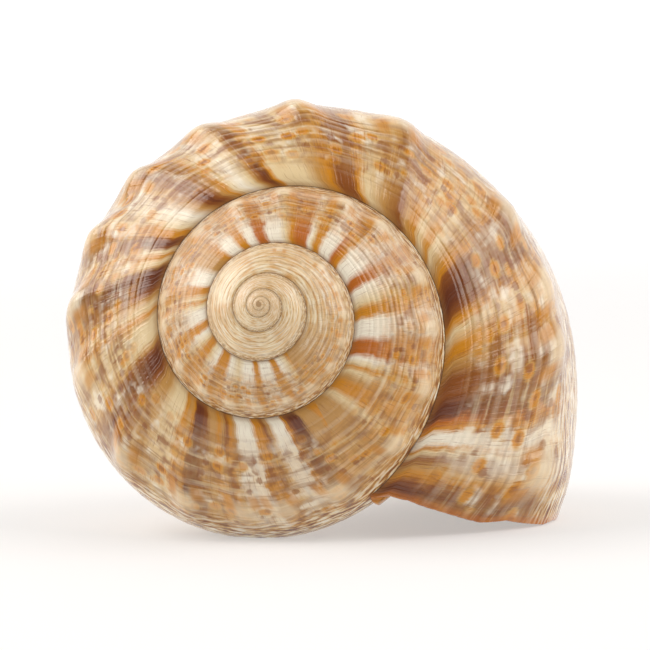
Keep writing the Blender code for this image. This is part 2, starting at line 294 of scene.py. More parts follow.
def nearness(age):
    """How near a growth age is to the middle of a knob, from 0 to 1."""
    return np.max([hump(age - middle, KNOB_WIDTH) for middle, _ in KNOB_AGES], axis=0)


def knob_relief(age, s):
    """Knobs, the folds below them and the growth stop."""
    rise = np.where(s < SHOULDER_AT, KNOB_RISE_UP, KNOB_RISE_DOWN)
    band = hump(s - SHOULDER_AT, rise)
    fold = hump(s - FOLD_MIDDLE, FOLD_REACH) * np.clip(s / FOLD_START, 0, 1)
    height = np.zeros_like(age)
    for middle, size in KNOB_AGES:
        height += size * KNOB_HEIGHT * hump(age - middle, KNOB_WIDTH) * band
        height += size * FOLD_HEIGHT * hump(age - middle, FOLD_WIDTH) * fold
    stop = hump(age - GROWTH_STOP, GROWTH_STOP_WIDTH)
    return height + GROWTH_STOP_HEIGHT * stop * np.clip(s, 0, 1) * np.clip(TIP_AT - s, 0, 1)


def fine_relief(azimuth, age, s):
    """Growth lines, and grooves between the cords."""
    height = np.zeros_like(age)
    share = np.clip(s / LINE_FULL_AT, LINE_LEAST, 1)
    middle = (len(LINE_PERIODS) - 1) / 2
    for n, period in enumerate(LINE_PERIODS):
        phase = LINE_LEAN * s * (n - middle)
        height += LINE_HEIGHT * np.sin(age * 2 * np.pi / period + phase) * share
    grown = np.clip((azimuth - GROOVE_START) / GROOVE_GROWTH, GROOVE_LEAST, 1)
    for place, width, size in GROOVES:
        wave = np.sin(np.radians(azimuth * GROOVE_WAVES + place * GROOVE_PHASE))
        height -= GROOVE_DEPTH * size * grown * hump(s - place - GROOVE_WANDER * wave, width)
    return height


def relief(azimuth, s):
    """The whole relief, as a share of the local shoulder radius, fading out at the sutures."""
    age = growth_angle(azimuth, s)
    height = knob_relief(age, s) + fine_relief(azimuth, age, s)
    wound = turn_of(azimuth) <= -1.0
    edge = np.where(wound, np.clip((NEXT_SUTURE_AT - s) * SUTURE_FADE, 0, 1), 1.0)
    return height * np.clip(s * SUTURE_FADE, 0, 1) * edge


def surface(azimuth, s, inset=0.0, raised=True):
    """Radius and depth at azimuth and profile position, moved in by inset."""
    turn = turn_of(azimuth)
    place, way = along(controls(turn), s)
    rise = relief(azimuth, s) * shoulder(turn)[0] if raised else 0.0
    rise = rise - inset
    radius = place[..., 0] + way[..., 1] * rise
    depth = place[..., 1] - way[..., 0] * rise
    return radius, depth


def turned(azimuth, radius, depth):
    """Points in space, with the tip at the origin and the axis upright."""
    angle = np.radians(azimuth)
    return np.stack([radius * np.cos(angle), -radius * np.sin(angle), -depth], -1)


def lip_share(azimuth):
    """How far the lip's own lag is reached, from 0 well behind the lip to 1 at it."""
    t = np.clip((azimuth - LIP_AZIMUTH + LAG_BLEND) / LAG_BLEND, 0, 1)
    return t * t * (3 - 2 * t)


def pillar_line(azimuth, size, rows, foot, join):
    """The columella from its foot up to where the turn before joins it."""
    radii, shares = np.array(COLUMELLA).T
    t = np.linspace(0, 1, rows + 2)[1:-1] * len(COLUMELLA)
    knots = np.arange(len(COLUMELLA) + 1)
    radius = hermite(t, knots, np.append(radii * size, join[0]))
    share = hermite(t, knots, np.append(shares, 1.0))
    return turned(np.full_like(t, azimuth), radius, foot + (join[1] - foot) * share)


def section(azimuth, outer_s, pillar_rows, inner_s):
    """One closed ring of the hollow: outer wall, columella, then the wall of the turn before."""
    size = shoulder(np.float64(turn_of(azimuth)))[0] / LIP_SHOULDER
    outer_s = outer_s + CORNER_SHIFT * np.clip((CORNER_REACH - outer_s) / CORNER_REACH, 0, 1)
    outer_azimuth = azimuth - lag(outer_s) * lip_share(azimuth)
    radius, depth = surface(outer_azimuth, outer_s, WALL * size**WALL_POWER, False)
    outer = turned(outer_azimuth, radius, depth)
    inner_azimuth = np.full_like(inner_s, azimuth - 360.0)
    drop = CORNER_DROP * np.clip(NEXT_SUTURE_AT + 1.0 - inner_s, 0, 1)
    radius, depth = surface(inner_azimuth, inner_s + drop, -PARIETAL_GLAZE, False)
    inner = turned(inner_azimuth, radius, depth)
    join = (np.hypot(inner[0, 0], inner[0, 1]), -inner[0, 2])
    foot = -outer[-1, 2] - CANAL_LIFT * size
    ring = np.concatenate([outer, pillar_line(azimuth, size, pillar_rows, foot, join), inner])
    for _ in range(CORNER_SMOOTHING):
        ring = 0.5 * ring + 0.25 * (np.roll(ring, 1, 0) + np.roll(ring, -1, 0))
    return ring


def profile_rows():
    """Profile positions down to the next suture, and down to the navel."""
    ramp = np.linspace(0, RAMP_END, RAMP_ROWS)
    wall = np.linspace(RAMP_END, NEXT_SUTURE_AT, WALL_ROWS)[1:]
    base = np.linspace(NEXT_SUTURE_AT, LAST_AT, BASE_ROWS + 1)[1:]
    upper = np.concatenate([ramp, wall])
    return upper, np.concatenate([upper, base])


def arc_table():
    """Profile positions and the length of the lip's profile up to each."""
    positions = np.arange(0.0, LAST_AT + ARC_STEP / 2, ARC_STEP)
    places = along(controls(np.zeros_like(positions)), positions)[0]
    steps = np.linalg.norm(np.diff(places, axis=0), axis=1)
    return positions, np.concatenate([[0.0], np.cumsum(steps)])


UPPER_S, WHOLE_S = profile_rows()
WOUND_ROW = len(UPPER_S) - 1
ARC_S, ARC_LENGTH = arc_table()


def to_world(points):
    """Shell points in millimetres, tip up, to metres in the frame of the CAD."""
    placed = points @ np.array(REST_MATRIX).T + np.array(REST_STEP)
    placed[..., 2] = np.maximum(placed[..., 2], 0.0)
    return placed * METRES


def outside(azimuth, rows):
    """A grid of points and of the values that the material reads, by azimuth and profile row."""
    azimuth, s = np.meshgrid(azimuth, rows, indexing="ij")
    place = azimuth - lag(s) * lip_share(azimuth)
    radius, depth = surface(place, s)
    age = growth_angle(place, s)
    values = {
        "age": age / 360.0,
        "spot": s,
        "arc": np.interp(s, ARC_S, ARC_LENGTH),
        "turn": place / 360.0,
        "inside": np.zeros_like(s),
        "knob": nearness(age),
    }
    return turned(place, radius, depth), values


def grid_faces(rows, columns):
    k = np.arange(rows * columns).reshape(rows, columns)
    quads = np.stack([k[:-1, :-1], k[1:, :-1], k[1:, 1:], k[:-1, 1:]], -1)
    return quads.reshape(-1, 4).tolist()


def make_piece(name, points, faces, values):
    mesh = bpy.data.meshes.new(name)
    mesh.from_pydata(to_world(points).tolist(), [], faces)
    for key, data in values.items():
        layer = mesh.attributes.new(key, "FLOAT", "POINT")
        layer.data.foreach_set("value", np.ascontiguousarray(data, np.float32))
    mesh.polygons.foreach_set("use_smooth", np.ones(len(mesh.polygons), bool))
    mesh.update()
    piece = bpy.data.objects.new(name, mesh)
    bpy.context.scene.collection.objects.link(piece)
    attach(piece, "root")
    return piece


def make_sheet(name, points, values, rows=slice(None)):
    """A piece from these rows of a grid."""
    picked = points[:, rows]
    listed = {key: data[:, rows].ravel() for key, data in values.items()}
    return make_piece(name, picked.reshape(-1, 3), grid_faces(*picked.shape[:2]), listed)


def make_capped(name, points, values, peak, like, caps):
    """A piece from a grid and one more point with the values of the point numbered like."""
    faces = grid_faces(*points.shape[:2]) + caps
    listed = {key: np.append(data.ravel(), data.ravel()[like]) for key, data in values.items()}
    return make_piece(name, np.concatenate([points.reshape(-1, 3), [peak]]), faces, listed)


def last_turn():
    """The grid of the last turn, from the suture down to the navel."""
    azimuth = np.linspace(LAST_TURN, LIP_AZIMUTH, TURN_COLUMNS + 1)
    points, values = outside(azimuth, WHOLE_S)
    # The lip's first point is the first column's point on the next suture.
    points[-1, 0] = points[0, WOUND_ROW]
    return points, values


def make_turn_before():
    azimuth = np.linspace(TURN_BEFORE, LAST_TURN, TURN_COLUMNS + 1)
    return make_sheet("spire_whorl", *outside(azimuth, UPPER_S))


def make_inner_turns():
    """The turns down to the tip, closed there."""
    count = int((TURN_BEFORE - INNER_START) / 360.0 * INNER_COLUMNS) + 1
    azimuth = TURN_BEFORE - (360.0 / INNER_COLUMNS) * np.arange(count)[::-1]
    points, values = outside(azimuth, np.linspace(0, NEXT_SUTURE_AT, INNER_ROWS))
    peak = count * INNER_ROWS
    caps = [(peak, (n + 1) * INNER_ROWS, n * INNER_ROWS) for n in range(INNER_COLUMNS)]
    caps += [(peak, k, k + 1) for k in range(INNER_ROWS - 1)]
    return make_capped("spire_tip", points, values, (0.0, 0.0, 0.0), 0, caps)


def rim_loops(edge, first_ring):
    """Rings of the rounded rim, between the outer edge and the first ring of the hollow."""
    forward = np.stack([edge[:, 1], -edge[:, 0], np.zeros(len(edge))], -1)
    forward /= np.linalg.norm(forward, axis=-1, keepdims=True) + 1e-9
    across = first_ring - edge
    width = np.minimum(np.linalg.norm(across, axis=-1, keepdims=True), RIM_WIDEST)
    # Each share of the way stands out by a parabola that is 1 in the middle.
    return [edge + across * share + forward * (RIM_BULGE * 4.0 * share * (1.0 - share) * width)
            for share in RIM_SHARES]


def make_aperture(body):
    """The rim and the hollow behind it, from the grid of the last turn."""
    ridge_row = int(np.argmin(abs(WHOLE_S - TIP_AT)))
    join_row = int(np.argmin(abs(WHOLE_S - JOIN_AT)))
    edge = np.concatenate([body[-1], body[0, WOUND_ROW + 1 : -1][::-1]])
    edge_s = np.concatenate([WHOLE_S, WHOLE_S[WOUND_ROW + 1 : -1][::-1]])
    outer_s = WHOLE_S[: ridge_row + 1]
    inner_s = WHOLE_S[WOUND_ROW + 1 : join_row + 1][::-1]
    pillar_rows = (len(WHOLE_S) - 1 - ridge_row) + (len(WHOLE_S) - 2 - join_row)
    rings = [section(LIP_AZIMUTH - back, outer_s, pillar_rows, inner_s) for back in HOLLOW_STEPS]
    loops = [edge] + rim_loops(edge, rings[0]) + rings
    points = np.stack([np.concatenate([loop, loop[:1]]) for loop in loops])
    shape = points.shape[:2]
    ring_s = np.append(edge_s, edge_s[0])
    # Depth into the shell: up to 1 over the rim, then degrees back from the lip.
    inside = np.concatenate([[0.0], RIM_SHARES, 1.0 + np.array(HOLLOW_STEPS)])[:, None]
    values = {
        "age": np.full(shape, LIP_AZIMUTH / 360.0) - np.maximum(inside - 1.0, 0) / 360.0,
        "spot": np.tile(ring_s, (shape[0], 1)),
        "arc": np.tile(np.interp(ring_s, ARC_S, ARC_LENGTH), (shape[0], 1)),
        "turn": np.full(shape, LIP_AZIMUTH / 360.0),
        "inside": np.tile(inside, (1, shape[1])),
        "knob": np.zeros(shape),
    }
    last = (shape[0] - 1) * shape[1]
    peak = shape[0] * shape[1]
    caps = [(last + k + 1, last + k, peak) for k in range(shape[1] - 1)]
    return make_capped("aperture", points, values, rings[-1].mean(axis=0), -1, caps)


def make_pieces():
    body, values = last_turn()
    return [
        make_sheet("body_whorl", body, values, slice(0, WOUND_ROW + 1)),
        make_sheet("base", body, values, slice(WOUND_ROW, None)),
        make_turn_before(),
        make_inner_turns(),
        make_aperture(body),
    ]


# The colours, as they look on a screen.
PALETTE = {
    "black": (40, 24, 12),
    "dark": (104, 46, 4),
    "brown": (140, 76, 12),
    "nut": (152, 101, 42),
    "russet": (186, 100, 6),
    "orange": (206, 134, 6),
    "tan": (194, 144, 74),
    "sand": (211, 166, 98),
    "honey": (224, 176, 88),
    "cream": (231, 207, 160),
    "ivory": (241, 221, 184),
    "white": (248, 239, 218),
}
BAND_LETTERS = {
    "D": "dark", "B": "brown", "R": "russet", "O": "orange", "T": "tan", "C": "cream", "W": "white",
}

# Colours along the smooth band beside the suture, by growth age in degrees.
BODY_BAND = (
    (-305, "T"), (-299, "T"), (-296, "O"), (-293, "O"), (-291, "T"), (-285, "T"), (-283, "D"),
    (-279, "D"), (-277, "B"), (-275.5, "O"), (-274, "W"), (-269, "W"), (-266, "T"), (-264, "B"),
    (-261.5, "O"), (-259, "O"), (-257, "W"), (-250, "W"), (-248, "T"), (-246, "O"), (-244, "B"),
    (-242, "T"), (-240, "O"), (-238, "T"), (-235, "T"), (-233, "B"), (-230, "D"), (-227.5, "D"),
    (-226, "O"), (-224, "T"), (-221, "O"), (-219, "C"), (-213, "C"), (-208, "T"), (-204, "T"),
    (-200, "B"), (-196, "D"), (-192, "D"), (-189, "B"), (-187, "T"), (-184, "C"), (-176, "C"),
    (-172, "O"), (-169, "C"), (-165, "T"), (-162, "B"), (-158, "D"), (-152, "D"), (-150, "T"),
    (-148, "C"), (-145.5, "O"), (-143, "C"), (-141, "B"), (-139, "D"), (-137, "B"), (-135.5, "O"),
    (-133, "O"), (-131, "C"), (-124, "W"), (-119, "T"), (-116, "B"), (-113.5, "D"), (-111, "B"),
    (-108, "T"), (-106, "O"), (-104, "C"), (-100, "W"), (-96, "C"), (-94, "T"), (-92, "B"),
    (-90, "D"), (-87.5, "O"), (-86, "C"), (-76, "C"), (-70, "T"), (-66, "O"), (-63, "B"),
    (-57, "B"), (-55, "O"), (-52, "C"), (-45, "T"), (-38, "B"), (-35, "T"), (-31, "O"), (-28, "C"),
    (-23, "O"), (-21, "C"), (-16, "T"), (-13, "O"), (-11, "B"), (-6, "D"), (-2, "D"), (1, "B"),
    (4, "O"), (7, "C"), (12, "O"), (14, "O"), (17, "T"), (22, "B"), (27, "B"), (31, "D"), (34, "D"),
    (36, "R"), (38.5, "O"), (40.5, "W"), (43, "W"), (44.5, "O"), (46, "C"), (48, "B"), (51, "T"),
    (54, "O"), (56, "B"), (59, "D"), (61, "B"), (63, "O"), (66, "O"),
)
SPIRE_BAND = (
    (-700, "T"), (-696, "O"), (-690, "T"), (-680, "C"), (-672, "O"), (-668, "C"), (-662, "O"),
    (-655, "O"), (-650, "C"), (-643, "W"), (-640, "O"), (-636, "O"), (-633, "W"), (-624, "W"),
    (-621, "O"), (-618, "O"), (-615, "W"), (-608, "W"), (-602, "C"), (-594, "W"), (-590, "O"),
    (-583, "O"), (-580, "W"), (-573, "C"), (-570, "O"), (-565, "O"), (-561, "C"), (-555, "W"),
    (-552, "O"), (-547, "O"), (-544, "W"), (-536, "W"), (-531, "C"), (-528, "O"), (-525, "C"),
    (-520, "O"), (-516, "O"), (-513, "W"), (-504, "W"), (-498, "T"), (-490, "T"), (-484, "O"),
    (-480, "W"), (-473, "W"), (-470, "O"), (-466, "O"), (-463, "W"), (-459, "W"), (-456, "R"),
    (-451, "R"), (-448, "W"), (-440, "W"), (-436, "C"), (-432, "O"), (-428, "R"), (-422, "R"),
    (-419, "W"), (-417, "C"), (-415, "O"), (-412, "O"), (-409, "W"), (-403, "W"), (-400, "R"),
    (-395, "O"), (-392, "W"), (-383, "W"), (-379, "R"), (-375, "R"), (-372, "W"), (-364, "C"),
    (-360, "O"), (-356, "O"), (-353, "W"), (-345, "W"), (-341, "R"), (-334, "R"), (-331, "W"),
    (-328, "C"), (-326, "O"), (-323, "C"), (-319, "T"), (-316, "O"), (-311, "O"), (-307, "C"),
    (-303, "T"),
)
TIP_BAND = (
    (-1400, "T"), (-1300, "C"), (-1200, "T"), (-1110, "T"), (-1080, "C"), (-1030, "T"),
    (-1015, "T"), (-1000, "C"), (-960, "T"), (-940, "C"), (-915, "T"), (-900, "T"), (-892, "O"),
    (-886, "C"), (-860, "C"), (-830, "C"), (-824, "O"), (-818, "C"), (-802, "C"), (-797, "O"),
    (-788, "T"), (-780, "C"), (-774, "O"), (-768, "C"), (-750, "C"), (-742, "T"), (-730, "C"),
    (-715, "T"), (-709, "C"), (-703, "C"), (-700, "T"),
)
# A shader's ramp holds up to 32 stops, so a band takes several.
BAND_STOPS = 30

# The colours read patterns: age and turn are growth age and azimuth in degrees, spot the profile
# position, arc the way along the profile in millimetres, knob the nearness to a knob and inside the
# depth into the aperture. The other patterns are made of these.
# Noise patterns: change by degree of age, then by unit of the pattern named, seed, detail, roughness.
NOISES = {
    "streak": (0.30, "arc", 0.11, 3.0, 3.0, 0.55),
    "fine": (1.5, "arc", 0.16, 7.0, 3.0, 0.6),
    "blotch": (0.13, "arc", 0.33, 11.0, 3.0, 0.6),
    "mottle": (0.16, "arc", 0.24, 13.0, 2.0, 0.5),
    "dash": (0.20, "arc", 0.95, 17.0, 2.0, 0.5),
    "thread": (0.035, "spot", 5.0, 19.0, 2.0, 0.6),
    "ridge": (0.9, "arc", 0.03, 31.0, 2.0, 0.5),
    "shift": (0.03, "spot", 0.8, 37.0, 1.0, 0.5),
    "cloud": (0.045, "arc", 0.5, 43.0, 2.0, 0.6),
}
# Scattered round spots: change by degree of age, change by millimetre of arc, and seed.
SPOTS = {
    "dots": (0.13, 0.23, 23.0),
    "flecks": (0.16, 0.22, 57.0),
}
SPOT_RAGGED = 0.3
# Spiral lines, by the distance between them: in profile positions, or in millimetres of arc.
STRIPE_PERIOD = 0.55
RING_PERIOD = 0.62
CORD_PERIOD = 1.15

# A limit is a pattern, the values where its share starts and ends, and those shares if not 0 and 1.
CALM = ("turn", -900.0, -620.0)
INNER = ("turn", -280.0, -310.0)
TIP = ("turn", -640.0, -720.0)

# How far the flames wander along the spiral, in degrees, and how ragged their edges are.
FLAME_WANDER = ("spot", 0.8, 3.2, 1.5, 9.0)
FLAME_RAGGED = 4.0
# Where they have turned into streaks. On the inner turns they reach a little further.
FLAME_END = ("reach", 1.4, 3.0)
INNER_REACH = 0.4

STREAK_STOPS = (
    (0.30, "dark"), (0.40, "nut"), (0.50, "tan"), (0.60, "sand"), (0.70, "cream"), (0.80, "sand"),
)
DASH_STOPS = (
    (0.34, "dark"), (0.42, "brown"), (0.48, "tan"), (0.55, "cream"), (0.62, "white"),
)
# How much the streaks cover the flames, above the shoulder and on the base.
STREAKS_ABOVE = 0.38
STREAKS_BELOW = 0.45

# Layers of paint: a colour, and the limits whose product is its share.
FLAME_LAYERS = (
    ("ivory", ("turn", -720.0, -650.0, 0.6, 0.0)),
)
ABOVE_LAYERS = (
    # Blotches.
    ("brown", ("mottle", 0.49, 0.34, 0.0, 0.75)),
    ("white", ("mottle", 0.52, 0.74, 0.0, 0.8), ("inner", 0.0, 1.0, 1.0, 0.2)),
    ("tan", ("blotch", 0.4, 0.6, 0.15, 0.5), INNER),
    ("orange", ("mottle", 0.50, 0.62, 0.0, 0.5), INNER),
    # Threads along the spiral.
    ("nut", ("thread", 0.49, 0.36, 0.0, 0.55)),
    ("cream", ("thread", 0.53, 0.70, 0.0, 0.45)),
    # A pale stretch behind the lip.
    ("white", ("age", 39.0, 41.5, 0.0, 0.45), ("age", 53.0, 49.0)),
    # Round spots, darker towards their middles.
    ("honey", ("dots", 0.42, 0.28, 0.0, 0.5)),
    ("orange", ("dots", 0.34, 0.22, 0.0, 0.9)),
    ("brown", ("dots", 0.20, 0.08, 0.0, 0.6)),
    ("brown", ("flecks", 0.26, 0.14, 0.0, 0.7)),
)
BELOW_LAYERS = (
    ("cream", ("mottle", 0.50, 0.70, 0.0, 0.8)),
    ("nut", ("thread", 0.49, 0.36, 0.0, 0.5)),
    ("orange", ("dots", 0.36, 0.22, 0.0, 0.7)),
)
RAMP_LAYERS = (
    # The tip is paler, with tan clouds and gold flecks.
    ("white", ("cloud", 0.48, 0.34, 0.0, 0.6), TIP),
    ("sand", ("cloud", 0.46, 0.62, 0.0, 0.5), TIP),
    ("orange", ("cloud", 0.56, 0.66, 0.0, 0.5), TIP),
    # The cords carry paler lines along the spiral.
    ("white", ("stripes", 0.1, 0.9), ("spot", 1.4, 2.4, 0.0, 0.16), ("blotch", 0.35, 0.6, 0.3, 1.0)),
    # Fine brown growth lines cross everything but the tip.
    ("brown", ("fine", 0.45, 0.30, 0.0, 0.45), CALM),
    # The crest of each knob is pale, and its flanks carry orange spots.
    ("ivory", ("spot", 4.3, 4.9), ("spot", 5.7, 5.2), ("knob", 0.35, 0.9, 0.1, 0.6)),
    ("orange", ("spot", 3.9, 4.4), ("spot", 5.2, 4.8), ("knob", 0.1, 0.4), ("knob", 0.9, 0.6, 0.0, 0.6)),
)
# The side wall takes over below the shoulder, and its dashes fade further down.
SIDE_WALL = ("spot", 5.0, 6.2)
DASH_END = ("spot", 6.8, 8.6, 0.0, 0.68)
LAST_LAYERS = (
    # Thin brown spiral lines cover the inner turns.
    ("nut", ("rings", 0.2, 0.9), ("turn", -560.0, -680.0, 0.12, 0.42),
     ("blotch", 0.38, 0.62, 0.25, 1.0), ("wound", 0.0, 1.0)),
    # Beside the suture a greyish brown is painted as shade in the gutter there, and a dark line of
    # painted shade lies in the suture itself.
    ("nut", ("spot", 0.1, 0.75, 0.5, 0.0)),
    ("black", ("spot", 0.0, 0.16, 0.85, 0.0), ("turn", -1700.0, -1300.0, 0.1, 1.0)),
    # The edge of the lip is orange brown.
    ("russet", ("age", 59.5, 61.8, 0.0, 0.6)),
)
# The lining of the aperture, by depth inside, grows paler further in.
LINING = ("inside", 0.05, 1.2)
LINING_PALE = ("inside", 2.0, 26.0)

# Relief too fine for the mesh: cords on the side wall, growth lines and the grain of the surface.
CORDS = ("spot", 5.0, 5.6)
RIDGES = ("ridge", 0.5, 0.62)
RIDGE_GROWTH = ("age", -60.0, 55.0, 0.35, 1.3)
GRAIN_HEIGHT = 0.5
CORD_HEIGHT = 0.5

SHELL_FINISH = {
    "Roughness": 0.45,
    "Specular IOR Level": 0.1,
    "Coat Weight": 1.0,
    "Coat Roughness": 0.03,
    "Coat IOR": 1.52,
}
BUMP_FINISH = {"Strength": 0.5, "Distance": 0.00012}


def rgb(name):
    """A palette colour as linear values for a shader."""
    return tuple(((v / 255.0 + 0.055) / 1.055) ** 2.4 for v in PALETTE[name]) + (1.0,)


def set_inputs(node, values):
    for name, value in values.items():
        node.inputs[name].default_value = value


class Graph:
    """Short names for building one shader graph."""

    def __init__(self, material):
        material.use_nodes = True
        self.tree = material.node_tree
        self.principled = self.tree.nodes["Principled BSDF"]
        self.patterns = {}

    def put(self, kind, **settings):
        node = self.tree.nodes.new(kind)
        for key, value in settings.items():
            setattr(node, key, value)
        return node

    def feed(self, socket, value):
        if isinstance(value, bpy.types.NodeSocket):
            self.tree.links.new(value, socket)
        else:
            socket.default_value = value

    def math(self, operation, *values):
        node = self.put("ShaderNodeMath", operation=operation)
        for socket, value in zip(node.inputs, values):
            self.feed(socket, value)
        return node.outputs[0]

    def times(self, a, b):
        return self.math("MULTIPLY", a, b)

    def plus(self, a, b):
        return self.math("ADD", a, b)

    def centred(self, value):
        return self.math("SUBTRACT", value, 0.5)

    def wave(self, value, period):
        return self.math("SINE", self.times(value, 2 * math.pi / period))

    def attribute(self, name):
        return self.put("ShaderNodeAttribute", attribute_name=name).outputs["Fac"]

    def span(self, value, low, high, to_low=0.0, to_high=1.0, smooth=True):
        kind = "SMOOTHSTEP" if smooth else "LINEAR"
        node = self.put("ShaderNodeMapRange", interpolation_type=kind)
        self.feed(node.inputs["Value"], value)
        set_inputs(node, {"From Min": low, "From Max": high, "To Min": to_low, "To Max": to_high})
        return node.outputs["Result"]

    def share(self, *limits):
        """The product of some limits."""
        product = None
        for name, *numbers in limits:
            part = self.span(self.patterns[name], *numbers)
            product = part if product is None else self.times(product, part)
        return product

    def mix(self, factor, a, b):
        node = self.put("ShaderNodeMix", data_type="RGBA")
        for n, value in ((0, factor), (6, a), (7, b)):
            self.feed(node.inputs[n], value)
        return node.outputs[2]

    def paint(self, colour, layers):
        """The colour with each layer of a table over it."""
        for name, *limits in layers:
            colour = self.mix(self.share(*limits), colour, rgb(name))
        return colour

    def vector(self, x, y, z):
        node = self.put("ShaderNodeCombineXYZ")
        for socket, value in zip(node.inputs, (x, y, z)):
            self.feed(socket, value)
        return node.outputs[0]

    def noise(self, vector, detail, roughness):
        node = self.put("ShaderNodeTexNoise")
        self.feed(node.inputs["Vector"], vector)
        set_inputs(node, {"Scale": 1.0, "Detail": detail, "Roughness": roughness})
        return node.outputs["Fac"]

    def cells(self, vector):
        """Distance to the nearest of many scattered points, for round spots."""
        node = self.put("ShaderNodeTexVoronoi")
        self.feed(node.inputs["Vector"], vector)
        set_inputs(node, {"Scale": 1.0})
        return node.outputs["Distance"]

    def ramp(self, factor, stops):
        node = self.put("ShaderNodeValToRGB")
        elements = node.color_ramp.elements
        while len(elements) < len(stops):
            elements.new(0.5)
        for element, (place, name) in zip(elements, stops):
            element.position = place
            element.color = rgb(name)
        self.feed(node.inputs[0], factor)
        return node.outputs[0]

    def band(self, age, stops):
        """A colour by growth age, from a list longer than one ramp can hold."""
        colour = None
        for first in range(0, len(stops) - 1, BAND_STOPS - 1):
            chunk = stops[first : first + BAND_STOPS]
            low, high = chunk[0][0], chunk[-1][0]
            factor = self.span(age, low, high, smooth=False)
            places = [((at - low) / (high - low), BAND_LETTERS[code]) for at, code in chunk]
            part = self.ramp(factor, places)
            if colour is None:
                colour = part
            else:
                colour = self.mix(self.math("GREATER_THAN", age, float(low)), colour, part)
        return colour


def add_patterns(g):
    """Everything that the limits name, as sockets."""
    found = g.patterns
    found["age"] = g.times(g.attribute("age"), 360.0)
    found["turn"] = g.times(g.attribute("turn"), 360.0)
    for name in ("spot", "arc", "knob", "inside"):
        found[name] = g.attribute(name)
    for name, (by_age, along_name, by_place, seed, detail, roughness) in NOISES.items():
        x = g.times(found["age"], by_age)
        y = g.times(found[along_name], by_place)
        found[name] = g.noise(g.vector(x, y, seed), detail, roughness)
    ragged = g.times(g.centred(found["fine"]), SPOT_RAGGED)
    for name, (by_age, by_arc, seed) in SPOTS.items():
        x = g.times(found["age"], by_age)
        y = g.times(found["arc"], by_arc)
        found[name] = g.plus(g.cells(g.vector(x, y, seed)), ragged)
    found["stripes"] = g.wave(found["spot"], STRIPE_PERIOD)
    found["rings"] = g.wave(g.plus(found["spot"], found["shift"]), RING_PERIOD)
    found["inner"] = g.share(INNER)
    found["wound"] = g.math("LESS_THAN", found["turn"], LAST_TURN)
    found["reach"] = g.math("SUBTRACT", found["spot"], g.times(found["inner"], INNER_REACH))


def flame_colour(g):
    """The flames beside the suture. They wander as they run outwards, and their edges are ragged."""
    found = g.patterns
    wander = g.times(g.centred(found["blotch"]), g.share(FLAME_WANDER))
    ragged = g.times(g.centred(found["fine"]), g.times(g.share(CALM), FLAME_RAGGED))
    shaken = g.plus(g.plus(found["age"], wander), ragged)
    flames = g.band(shaken, TIP_BAND)
    for start, stops in ((TURN_BEFORE, SPIRE_BAND), (LAST_TURN, BODY_BAND)):
        begun = g.math("GREATER_THAN", found["turn"], start)
        flames = g.mix(begun, flames, g.band(shaken, stops))
    return g.paint(flames, FLAME_LAYERS)


def shell_colour(g):
    found = g.patterns
    flames = flame_colour(g)
    # Growth streaks run from suture to canal.
    streaks = g.ramp(found["streak"], STREAK_STOPS)
    above = g.paint(g.mix(STREAKS_ABOVE, flames, streaks), ABOVE_LAYERS)
    colour = g.mix(g.share(CALM, FLAME_END), flames, above)
    colour = g.paint(colour, RAMP_LAYERS)
    # Short brown and white dashes follow the cords of the side wall.
    dashes = g.ramp(found["dash"], DASH_STOPS)
    below = g.paint(g.mix(STREAKS_BELOW, flames, streaks), BELOW_LAYERS)
    colour = g.mix(g.share(SIDE_WALL), colour, g.mix(g.share(DASH_END), dashes, below))
    # The last layers include painted shade beside and in the suture.
    colour = g.paint(colour, LAST_LAYERS)
    lining = g.mix(g.share(LINING_PALE), rgb("orange"), rgb("cream"))
    return g.mix(g.share(LINING), colour, lining)


def shell_bump(g):
    cords = g.times(g.wave(g.patterns["arc"], CORD_PERIOD), g.share(CORDS))
    ridges = g.times(g.share(RIDGES, RIDGE_GROWTH), g.share(CALM))
    lines = g.plus(g.times(g.patterns["fine"], GRAIN_HEIGHT), ridges)
    bump = g.put("ShaderNodeBump")
    set_inputs(bump, BUMP_FINISH)
    g.feed(bump.inputs["Height"], g.plus(g.times(cords, CORD_HEIGHT), lines))
    return bump.outputs[0]


def shell_material():
    material = bpy.data.materials.new("shell_surface")
    g = Graph(material)
    add_patterns(g)
    g.feed(g.principled.inputs["Base Color"], shell_colour(g))
    set_inputs(g.principled, SHELL_FINISH)
    normal = shell_bump(g)
    g.feed(g.principled.inputs["Normal"], normal)
    g.feed(g.principled.inputs["Coat Normal"], normal)
    return material


# The camera stands where the photograph was taken: how far the shell's axis leans from the line
# of sight, the pixel where the tip is seen, the distance and the focal length.
TIP_LEAN = (-0.1633, 0.1872)
TIP_PIXEL = (258.88, 303.87)
DISTANCE = 560.0
FOCAL_PIXELS = 3500.0
FRAME_PIXELS = 650.0
SENSOR_WIDTH = 36.0
CLIP_END = 20.0

# The floor and the lights are in metres.
WHITE = (1.0, 1.0, 1.0, 1.0)
# The floor curves up into a backdrop behind the shell, and shines a little more further out.
FLOOR_SIDE = 4.0
FLOOR_FRONT = -6.0
FLOOR_BEND = 1.2
BEND_RADIUS = 0.8
BEND_STEPS = 24
BACKDROP_TOP = 5.0
FLOOR_SHINE = (0.2, 1.6, 0.42, 0.8)
FLOOR_FINISH = {
    "Base Color": (0.5, 0.5, 0.5, 1.0),
    "Roughness": 0.9,
    "Specular IOR Level": 0.1,
    "Emission Color": WHITE,
}

# Two softboxes stand high on the left and right of the shell: place, width and height, and power.
SOFTBOXES = {
    "left_box": ((-0.777, -0.122, 0.658), (0.79, 0.87), 8.4),
    "right_box": ((0.76, -0.10, 0.68), (0.79, 1.06), 7.4),
}
SOFTBOX_TARGET = (0.0, 0.0, 0.04)
SOFTBOX_COLOUR = (1.0, 0.93, 0.87)
WORLD_LIGHT = {"Color": WHITE, "Strength": 0.25}


